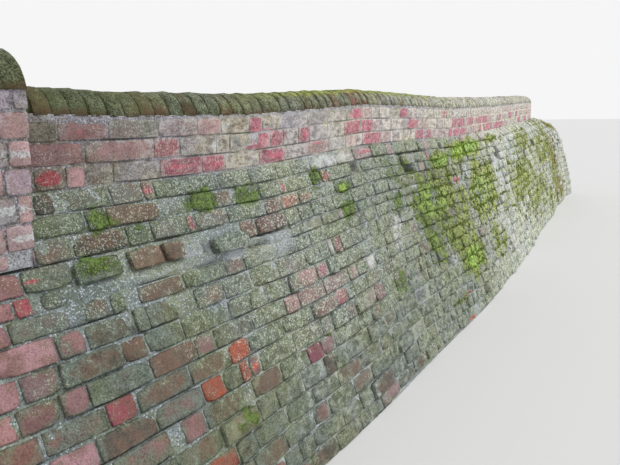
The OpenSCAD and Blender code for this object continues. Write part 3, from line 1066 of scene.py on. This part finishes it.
mossSizes = {
    "tufts": 3900,
    "edgeTufts": 480,
    "copingTufts": 260,
    "inJoints": 0.6,  # the share that grows from the joints
    "plain": (102, 118, 46),
    "far": (158, 164, 92),
    # colour, and where: centre and half sizes
    "patches": [((84, 110, 44), (0.8, 5.2, 1.0, 3.0)), ((126, 156, 46), (4.5, 4.6, 0.7, 1.1)),
                ((134, 120, 70), (9.9, 7.5, 0.5, 3.0))],
    "seed": 41,
}


def tuftTemplate():
    # A low dome
    sides = 7
    points = [(0, 0, 1)]
    for ring, tall, shift in ((0.45, 0.85, 0), (0.82, 0.45, 0.5), (1.0, -0.3, 0)):
        turns = [math.pi * 2 * (i + shift) / sides for i in range(sides)]
        points += [(ring * math.cos(turn), ring * math.sin(turn), tall) for turn in turns]
    pairs = [(i, (i + 1) % sides) for i in range(sides)]
    faces = [(0, 1 + i, 1 + j) for i, j in pairs]
    for row in (1, 1 + sides):
        faces += [(row + i, row + sides + i, row + sides + j, row + j) for i, j in pairs]
    faces.append(tuple(range(3 * sides, 2 * sides, -1)))
    return madeOf("tuft", points, faces, "cell", points)


def growMossTree():
    sheet, given, solid, (x, y, z), (wide, thick, tall), manner = startTree("growMoss", "Uneven")
    shaken = seededAt(sheet, x, y, z, manner[2]).shake(2.2, 2.0) * given.out("Uneven")
    moveX, moveY, moveZ = shaken.parts()
    onWall = (x * wide, 0 - y * tall, 0)
    return closeTree(sheet, given, solid, (x + moveX) * wide, (z + moveZ) * thick, (y + moveY) * tall, onWall)


def mossRow(s, down, rng, small, large):
    radius = rng.uniform(small, large) * (1 + 1.5 * farness(s))
    if down > 0:
        centre = facePoint(s, down, 0.002)
        up = (facePoint(s, down - 0.02) - facePoint(s, down + 0.02)).normalized()
    else:
        turn = rng.gauss(-0.2, 0.5)  # round the coping, 0 at the top and positive to the back
        centre = wallPoint(s, -thickness / 2 - math.sin(turn) * 0.105, copingSeat(s) + math.cos(turn) * 0.098)
        up = (forward(s) * -math.cos(turn) - upBy(math.sin(turn))).normalized()
    tone = mixed(mossSizes["plain"], mossSizes["far"], clamp((s - 4.5) / 3.5))
    for colour, (s0, k0, halfS, halfK) in mossSizes["patches"]:
        near = 1.5 - math.hypot((s - s0) / halfS, (courseAt(down) - k0) / halfK)
        tone = mixed(tone, colour, clamp(near))
    shade = rng.gauss(1, 0.16)
    size = (radius, radius * rng.uniform(0.25, 0.5), radius * rng.uniform(0.6, 1))
    tint = (*(c * shade for c in paint(tone)), 1)
    side = along(s)
    return centre, side, side.cross(up), up, size, (s, down, 0), (0, 0, rng.uniform(0, 50)), tint


def mossTufts():
    rng = random.Random(mossSizes["seed"])
    rows = []
    weights = [halfS * halfK * strength for _, _, halfS, halfK, strength in mossPatches]
    while len(rows) < mossSizes["tufts"]:
        s0, k0, halfS, halfK, strength = rng.choices(mossPatches, weights)[0]
        s, k = s0 + rng.gauss(0, 0.6) * halfS, k0 + rng.gauss(0, 0.6) * halfK
        if rng.random() < mossSizes["inJoints"]:
            k = courseAt(bedAt(min(max(round(k), 4), courseCount), s)) + rng.gauss(0, 0.1)
        clump = noise.noise(Vector((s * 7, k * 0.7, 3.0))) + noise.noise(Vector((s * 19, k * 1.9, 8.0))) * 0.6
        onWall = 3.03 < k and downOf(k) < seatAt(s) - 0.03 and s < wallLength - 0.05
        if onWall and clump > 0.55 - 0.75 * strength:
            rows.append(mossRow(s, downOf(k), rng, 0.004, 0.009))
    for _ in range(mossSizes["edgeTufts"]):
        s = rng.uniform(7.8, wallLength - 0.06)
        rows.append(mossRow(s, downOf(rng.triangular(3.05, 12, 3.3)), rng, 0.005, 0.010))
    for _ in range(mossSizes["copingTufts"]):
        s = min(max(rng.gauss(2.1, 0.75), 0.1), 4.5)
        rows.append(mossRow(s, 0, rng, 0.004, 0.009))
    return rows


def emptySheet(owner):
    owner.use_nodes = True
    owner.node_tree.nodes.clear()
    return Sheet(owner.node_tree)


def newFinish(name):
    material = bpy.data.materials.new(name)
    return material, emptySheet(material)


def endFinish(sheet, colour, height, strength, reach, roughness=0.88):
    bump = sheet.add("ShaderNodeBump", {"Strength": strength, "Distance": reach, "Height": height})
    sockets = {"Base Color": colour, "Roughness": roughness, "Normal": bump, "Specular IOR Level": 0.25}
    sheet.add("ShaderNodeOutputMaterial", {"Surface": sheet.add("ShaderNodeBsdfPrincipled", sockets)})


# Crust colours, dark and light, and the strength of the white spots, near the pier and far from it
plainLook = {
    "foot": False,  # whether the foot is brown and the top mossy, as on the coping
    "smear": 0,     # lime smeared over the edges
    "late": 1,      # a higher power starts the far look later
    "large": 1,     # large white spots
}
looks = {
    "battered": {"near": ("#545f4f", "#7a8676"), "far": ("#6a7864", "#ecf1e2"), "stain": "#785e50",
                 "spots": (1.0, 1.0), "late": 2},
    "parapet": {"near": ("#5c5854", "#8a8482"), "far": ("#9e9690", "#eee6e0"), "stain": "#826a6c",
                "spots": (0.65, 0.25), "smear": 0.7, "large": 0.4},
    "coping": {"near": ("#262e16", "#707856"), "far": ("#7a786a", "#dcdace"), "stain": "#605c3c",
               "spots": (0.6, 0.6), "foot": True},
    "pier": {"near": ("#92888a", "#beb2b6"), "far": ("#92888a", "#beb2b6"), "stain": "#96807c",
             "spots": (0.7, 0.7)},
    "back": {"near": ("#747468", "#9e9e90"), "far": ("#7c7e70", "#acae9e"), "stain": "#7c5c4e",
             "spots": (0.5, 0.5)},
}


def mossLayer(colour, moss, place, broad, blotch, fine):
    spread = moss * 0.42 + broad * 1.7 + blotch * 1.1 + fine * 0.5
    green = spread.step(1.88, 2.02) * moss.step(0.0, 0.25)
    # light and dark grains of the moss: partly its own mottling, partly painted shade in the dark grains
    shade = (fine * 0.7 + blotch * 0.3).step(0.45, 0.55)
    leaf = shade.mix("#38441c", place.step(4.8, 2.0).mix("#bac468", "#6e8a3a"))  # greener near the pier
    leaf = moss.step(1.0, 1.3).mix(leaf, shade.mix("#3c5c16", "#b6d862"))
    leaf = (place.step(8.6, 9.6) * 0.7).mix(leaf, "#887642")
    return (green * 0.85).mix(colour, leaf), green


def weather(where, pale):  # grains shared by bricks and mortar, finer near the pier and coarser far from it
    broad, blotch = where.grain(5.5, 3.0, 0.6), where.grain(26.0, 5.0, 0.68)
    drawn = where * (0.4, 1, 1)  # longer along the wall, as seen from its end
    fine = where.grain(150.0, 4.0, 0.76) * (1 - pale) + drawn.grain(50.0, 4.0, 0.8) * pale
    tone = (fine * 0.72 + blotch * 0.28).step(0.43 + pale * 0.03, 0.57 - pale * 0.03)
    hue = where.grain(3.1, 4.0, 0.65).step(0.4, 0.6)
    # from olive to grey, and lilac far from the pier
    drift = hue.mix((1.04, 1.02, 0.84), pale.mix((0.98, 1.0, 1.14), (1.03, 0.99, 1.08)))
    return broad, blotch, fine, tone, drift


def wallInputs(sheet):
    growth, wallAt = sheet.attribute("growth", "Color").parts(), sheet.attribute("wallAt", "Vector").parts()
    return *growth, sheet.attribute("growth", "Alpha"), *wallAt


def brickFinish(name, look):
    material, sheet = newFinish(name)
    where, bare = sheet.where(), sheet.attribute("bare")
    tint, crust = sheet.attribute("tint", "Color"), sheet.attribute("tint", "Alpha")
    moss, speck, lime, pale, place, down, edge = wallInputs(sheet)
    rim = edge.step(0.93, 1.0)
    broad, blotch, fine, tone, drift = weather(where, pale)
    if look["foot"]:
        foot = (blotch * 0.05 - down).step(0.06, 0.03) * (0.7 - pale * 0.5)
        tint = foot.mix(tint, "#6a5440")
        crust = crust - (0 - down).step(0.06, 0.0) * 0.3
    stain = where.grain(13.0, 3.0, 0.6).step(0.46, 0.58) * (0.6 - pale * 0.4)
    late = pale ** look["late"]
    body = stain.mix(tint, look["stain"]) * (0.82 - late * 0.1 + tone * (0.34 + late * 0.3))
    # crust of lichen and dirt, in patches that run on from brick to brick
    spread = broad * 0.5 + blotch * 0.28 + fine * 0.22 + crust * 0.62 - 0.1 + edge.step(0.7, 1.0) * 0.1
    crusted = late.mix(tone.mix(*look["near"]), tone.mix(*look["far"])) * drift
    colour = (spread.step(0.62, 0.8) * 0.88).mix(body, crusted)
    # fresh face where the skin has gone, crimson above and orange low down
    fresh = (bare * 0.5 + fine * 0.2 + blotch * 0.3).step(0.54, 0.66)
    raw = pale.mix(tone.mix("#86363e", "#b65862"), "#de8098")
    rust = tone.mix("#a84e38", "#d06c52")
    colour = (fresh * 0.85).mix(colour, down.step(0.85, 1.0).mix(raw, rust))
    # bloom of lime, also smeared over the arrises
    bloom = (lime * 0.5 + fine * 0.35 + blotch * 0.3 + rim * 0.1).step(0.56, 0.68)
    colour = (bloom * 0.75).mix(colour, tone.mix("#a0a4a2", "#dcdee2"))
    if look["smear"]:
        smeared = (edge + blotch * 0.4 + fine * 0.3).step(1.22, 1.38) * pale
        colour = (smeared * look["smear"]).mix(colour, "#e0d9d2")
    # painted shade: near-black flecks stand in for the shade in small pits, stronger far from the pier
    pitShade = (fine * 0.6 + blotch * 0.4).step(0.44, 0.37)
    colour = (pitShade * (0.55 + pale * 0.2)).mix(colour, "#34322c")
    # white lichen: sparse specks near the pier, larger and thicker far from it
    low = down.step(0.85, 1.25) * place.step(3.0, 1.5) * 0.1
    dense = (speck * 0.2 + blotch * 0.6 + broad * 0.4 + pale * 0.18 - low).step(0.49, 0.62)
    small = where.dots(210.0, 0.5, 0.3) * dense
    wide = (where + blotch * 0.01).dots(96.0, 0.55, 0.3 + pale * 0.5) * dense
    large = (blotch * 0.75 + fine * 0.25).step(0.54, 0.6) * late * look["large"]
    white = small.most(wide * (0.3 + pale * 1.6)).most(large)
    near, far = look["spots"]
    colour = (white * (1 - pale * (1 - far / near)) * near * 0.85).mix(colour, "#d6decc")
    # painted shade: the rims of the bricks darken in patches, for the shade that falls into the joints
    colour = (rim * blotch.step(0.56, 0.46) * (0.45 - pale * 0.35)).mix(colour, "#36362e")
    colour, green = mossLayer(colour, moss, place, broad, blotch, fine)
    if look["foot"]:  # yellow-green moss along the top of the coping
        top = (fine * 0.08 + blotch * 0.08 - down).step(0.15, 0.17)
        top = top * place.step(1.0, 1.9) * place.step(4.6, 3.0)
        colour = (top * 0.7).mix(colour, tone.mix("#5c6822", "#b8c25c"))
    grit = where.grain(330.0, 2.0)
    endFinish(sheet, colour, fine * 0.5 + grit * 0.25 + blotch * 0.8 + green * 0.4, 0.85, 0.008)
    return material


def mortarFinish(name):
    material, sheet = newFinish(name)
    where = sheet.where()
    moss, speck, lime, pale, place, down, crack = wallInputs(sheet)
    battered = down.step(0.24, 0.27)
    broad, blotch, fine, tone, drift = weather(where, pale)
    near = place.step(-5.0, -8.0).mix(battered.mix("#8a8484", "#909a93"), "#b0aca0")  # paler on the back
    colour = pale.mix(near, battered.mix("#e6e1d6", "#c2c6ba")) * (0.74 + tone * 0.5) * drift
    olive = (broad * 0.5 + blotch * 0.5).step(0.48, 0.56) * battered * 0.6
    colour = olive.mix(colour, pale.mix("#626c58", "#8a947a"))
    specks = where.dots(130.0, 0.6, 0.45) * (blotch + speck * 0.1).step(0.43, 0.52)
    colour = (specks * 0.85).mix(colour, "#d4dcea")
    colour = (fine.step(0.45, 0.37) * (0.7 - pale * 0.3)).mix(colour, "#3a403a")
    colour = ((lime * 0.5 + fine * 0.5).step(0.5, 0.62) * 0.6).mix(colour, "#ccd2da")
    colour = (down.step(0.014, 0.009) * 0.6).mix(colour, tone.mix("#7a7476", "#c4c4cc"))  # the top bed
    colour, green = mossLayer(colour, moss, place, broad, blotch, fine)
    # painted shadow: the cracks under the courses and the holes go near black, where shade falls
    colour = (crack * (0.8 - pale * 0.25)).mix(colour, "#26241e")
    endFinish(sheet, colour, fine + blotch * 0.8 + green * 0.4, 0.9, 0.008)
    return material


def grainyFinish(name, scale, rough, least, gain, strength, ends=None):
    # Light and dark grains of each tuft's own tint, or of a colour that goes between two as the wall pales
    material, sheet = newFinish(name)
    fine = sheet.where().grain(scale, 4.0, rough)
    tint = sheet.attribute("growth", "Alpha").mix(*ends) if ends else sheet.attribute("tint", "Color")
    endFinish(sheet, tint * (fine.step(0.36, 0.64) * gain + least), fine, strength, 0.006, 0.95)
    return material


finishes = {kind: brickFinish(kind + "_brick", {**plainLook, **look}) for kind, look in looks.items()}
finishes["mortar"] = mortarFinish("lime_mortar")
finishes["joint"] = grainyFinish("coping_joint", 90.0, 0.7, 0.6, 0.8, 0.8, ("#3a3c24", "#8c8a78"))
finishes["moss"] = grainyFinish("moss_tuft", 240.0, 0.75, 0.5, 1.0, 0.9)
print("finishes made:", len(finishes))

blocks = {
    "near": blockTemplate("near_block", (-1, -0.965, -0.5, 0, 0.5, 0.965, 1), (-1, -0.9, 0, 0.9, 1)),
    "middle": blockTemplate("middle_block", (-1, -0.95, -0.3, 0.3, 0.95, 1), (-1, -0.85, 0.85, 1)),
    "far": blockTemplate("far_block", (-1, -0.9, 0, 0.9, 1), (-1, -0.85, 0.85, 1)),
    "tuft": tuftTemplate(),
}
layBricks, layCoping = layBricksTree(), layCopingTree()


def hand(piece, slotName, kind, nodes=()):
    growOn(piece.data, kind)
    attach(piece, "root")
    if nodes:
        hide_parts(*nodes)


def bayNodes(name):
    return [f"{name}_{i + 1}" for i in range(wallForm["bays"])]


# The battered bricks lie in three pieces, coarser and more worn with the distance
battered, upright = wallBricks()
near, middle, far = ([row for row in battered if left <= row[5][0] < right]
                     for left, right in ((-9, 2.6), (2.6, 5.2), (5.2, 99)))
pierRows, pierBackRows = pierBricks()
lichened, plain, crisp = "lichened_brick", (0.006, 0.005, 0.018), (0.003, 0.003, 0.004)
baseNodes = [*bayNodes("retaining_wall"), "pier_base"]
# Name, bricks, block, wear, finish, slot, how it pales, and the solids it stands in for
for name, rows, block, wear, finish, slotName, kind, nodes in (
    ("wall_bricks_near", near, "near", plain, "battered", lichened, "battered", baseNodes),
    ("wall_bricks_middle", middle, "middle", (0.009, 0.010, 0.022), "battered", lichened, "battered", ()),
    ("wall_bricks_far", far, "far", (0.014, 0.014, 0.03), "battered", lichened, "battered", ()),
    ("parapet_bricks", upright, "near", crisp, "parapet", "parapet_brick", "parapet", bayNodes("parapet")),
    ("pier_bricks", pierRows, "near", crisp, "pier", "pier_brick", "battered", ["pier"]),
    ("back_bricks", backBricks() + pierBackRows, "middle", plain, "back", lichened, "back", ()),
    ("end_bricks", endBricks(), "middle", plain, "back", lichened, "back", ()),
):
    wears = dict(zip(("Ragged", "Uneven", "Chip"), wear))
    hand(runTree(name, rows, layBricks, Block=blocks[block], Finish=finishes[finish], **wears),
         slotName, kind, nodes)
for name, (rows, block), nodes in (("coping_bricks", copingBricks(), bayNodes("coping")),
                                   ("pier_cap_bricks", capBricks(), ["pier_cap"])):
    blocks[name] = block
    hand(runTree(name, rows, layCoping, Block=block, Finish=finishes["coping"], Uneven=copingSizes["uneven"]),
         "mossy_brick", "coping", nodes)
for piece, kind in ((mortarBody(), "battered"), (copingCore(), "coping"), (pierCore(), "battered")):
    hand(piece, "lime_mortar", kind)
growMoss = growMossTree()
hand(runTree("moss_tufts", mossTufts(), growMoss, Block=blocks["tuft"], Finish=finishes["moss"], Uneven=0.9),
     "mossy_brick", "battered")
for block in blocks.values():
    bpy.data.objects.remove(block)
print("wall built")


stageSizes = {
    "floorReach": 60,
    "floorTone": 0.72,
    "fill": 0.62,        # world light on the part
    "backdrop": 0.3,     # added for what the camera sees directly
    "sun": 1.7,
    "sunAngle": 50,
    "sunFrom": (0.3, -0.5, 0.8),
    "eye": (-6.153, -1.600, 1.645),
    "heading": 29,
    "dip": 11.39,
    "roll": -1.21,
    "lens": 36,
    "sensor": 36,
}


def makeStage():
    reach = stageSizes["floorReach"]
    corners = [(-reach, -reach, 0), (reach, -reach, 0), (reach, reach, 0), (-reach, reach, 0)]
    paper, sheet = newFinish("floor_paper")
    colour = (stageSizes["floorTone"],) * 3
    shader = sheet.add("ShaderNodeBsdfPrincipled", {"Base Color": colour, "Roughness": 0.9})
    sheet.add("ShaderNodeOutputMaterial", {"Surface": shader})
    madeOf("floor", corners, [(0, 1, 2, 3)], finish=paper)


def makeLights():
    world = bpy.data.worlds.new("studio")
    sheet = emptySheet(world)
    ray = sheet.add("ShaderNodeLightPath")
    seen = ray.out("Is Camera Ray").most(ray.out("Is Glossy Ray")).most(ray.out("Is Transmission Ray"))
    strength = seen * stageSizes["backdrop"] + stageSizes["fill"]
    background = sheet.add("ShaderNodeBackground", {"Color": (1, 1, 1), "Strength": strength})
    sheet.add("ShaderNodeOutputWorld", {"Surface": background})
    bpy.context.scene.world = world
    lamp = bpy.data.lights.new("sky", "SUN")
    lamp.energy = stageSizes["sun"]
    lamp.angle = math.radians(stageSizes["sunAngle"])
    newThing("sky", lamp).rotation_euler = Vector(stageSizes["sunFrom"]).to_track_quat("Z", "Y").to_euler()


def makeCamera():
    heading, dip, roll = (math.radians(stageSizes[key]) for key in ("heading", "dip", "roll"))
    right = Vector((math.sin(heading), -math.cos(heading), 0))
    ahead = Vector((math.cos(heading) * math.cos(dip), math.sin(heading) * math.cos(dip), -math.sin(dip)))
    up = right.cross(ahead)
    rolledRight = right * math.cos(roll) + up * math.sin(roll)
    rolledUp = up * math.cos(roll) - right * math.sin(roll)
    turn = Matrix((rolledRight, rolledUp, -ahead)).transposed()
    camera = bpy.data.cameras.new("camera")
    camera.lens = stageSizes["lens"]
    camera.sensor_width = stageSizes["sensor"]
    camera.clip_end = 300
    thing = newThing("camera", camera)
    thing.matrix_world = Matrix.Translation(Vector(stageSizes["eye"])) @ turn.to_4x4()
    bpy.context.scene.camera = thing


makeStage()
makeLights()
makeCamera()
bpy.context.scene.view_settings.view_transform = "Standard"
bpy.context.view_layer.update()
print("stage, light and camera set")
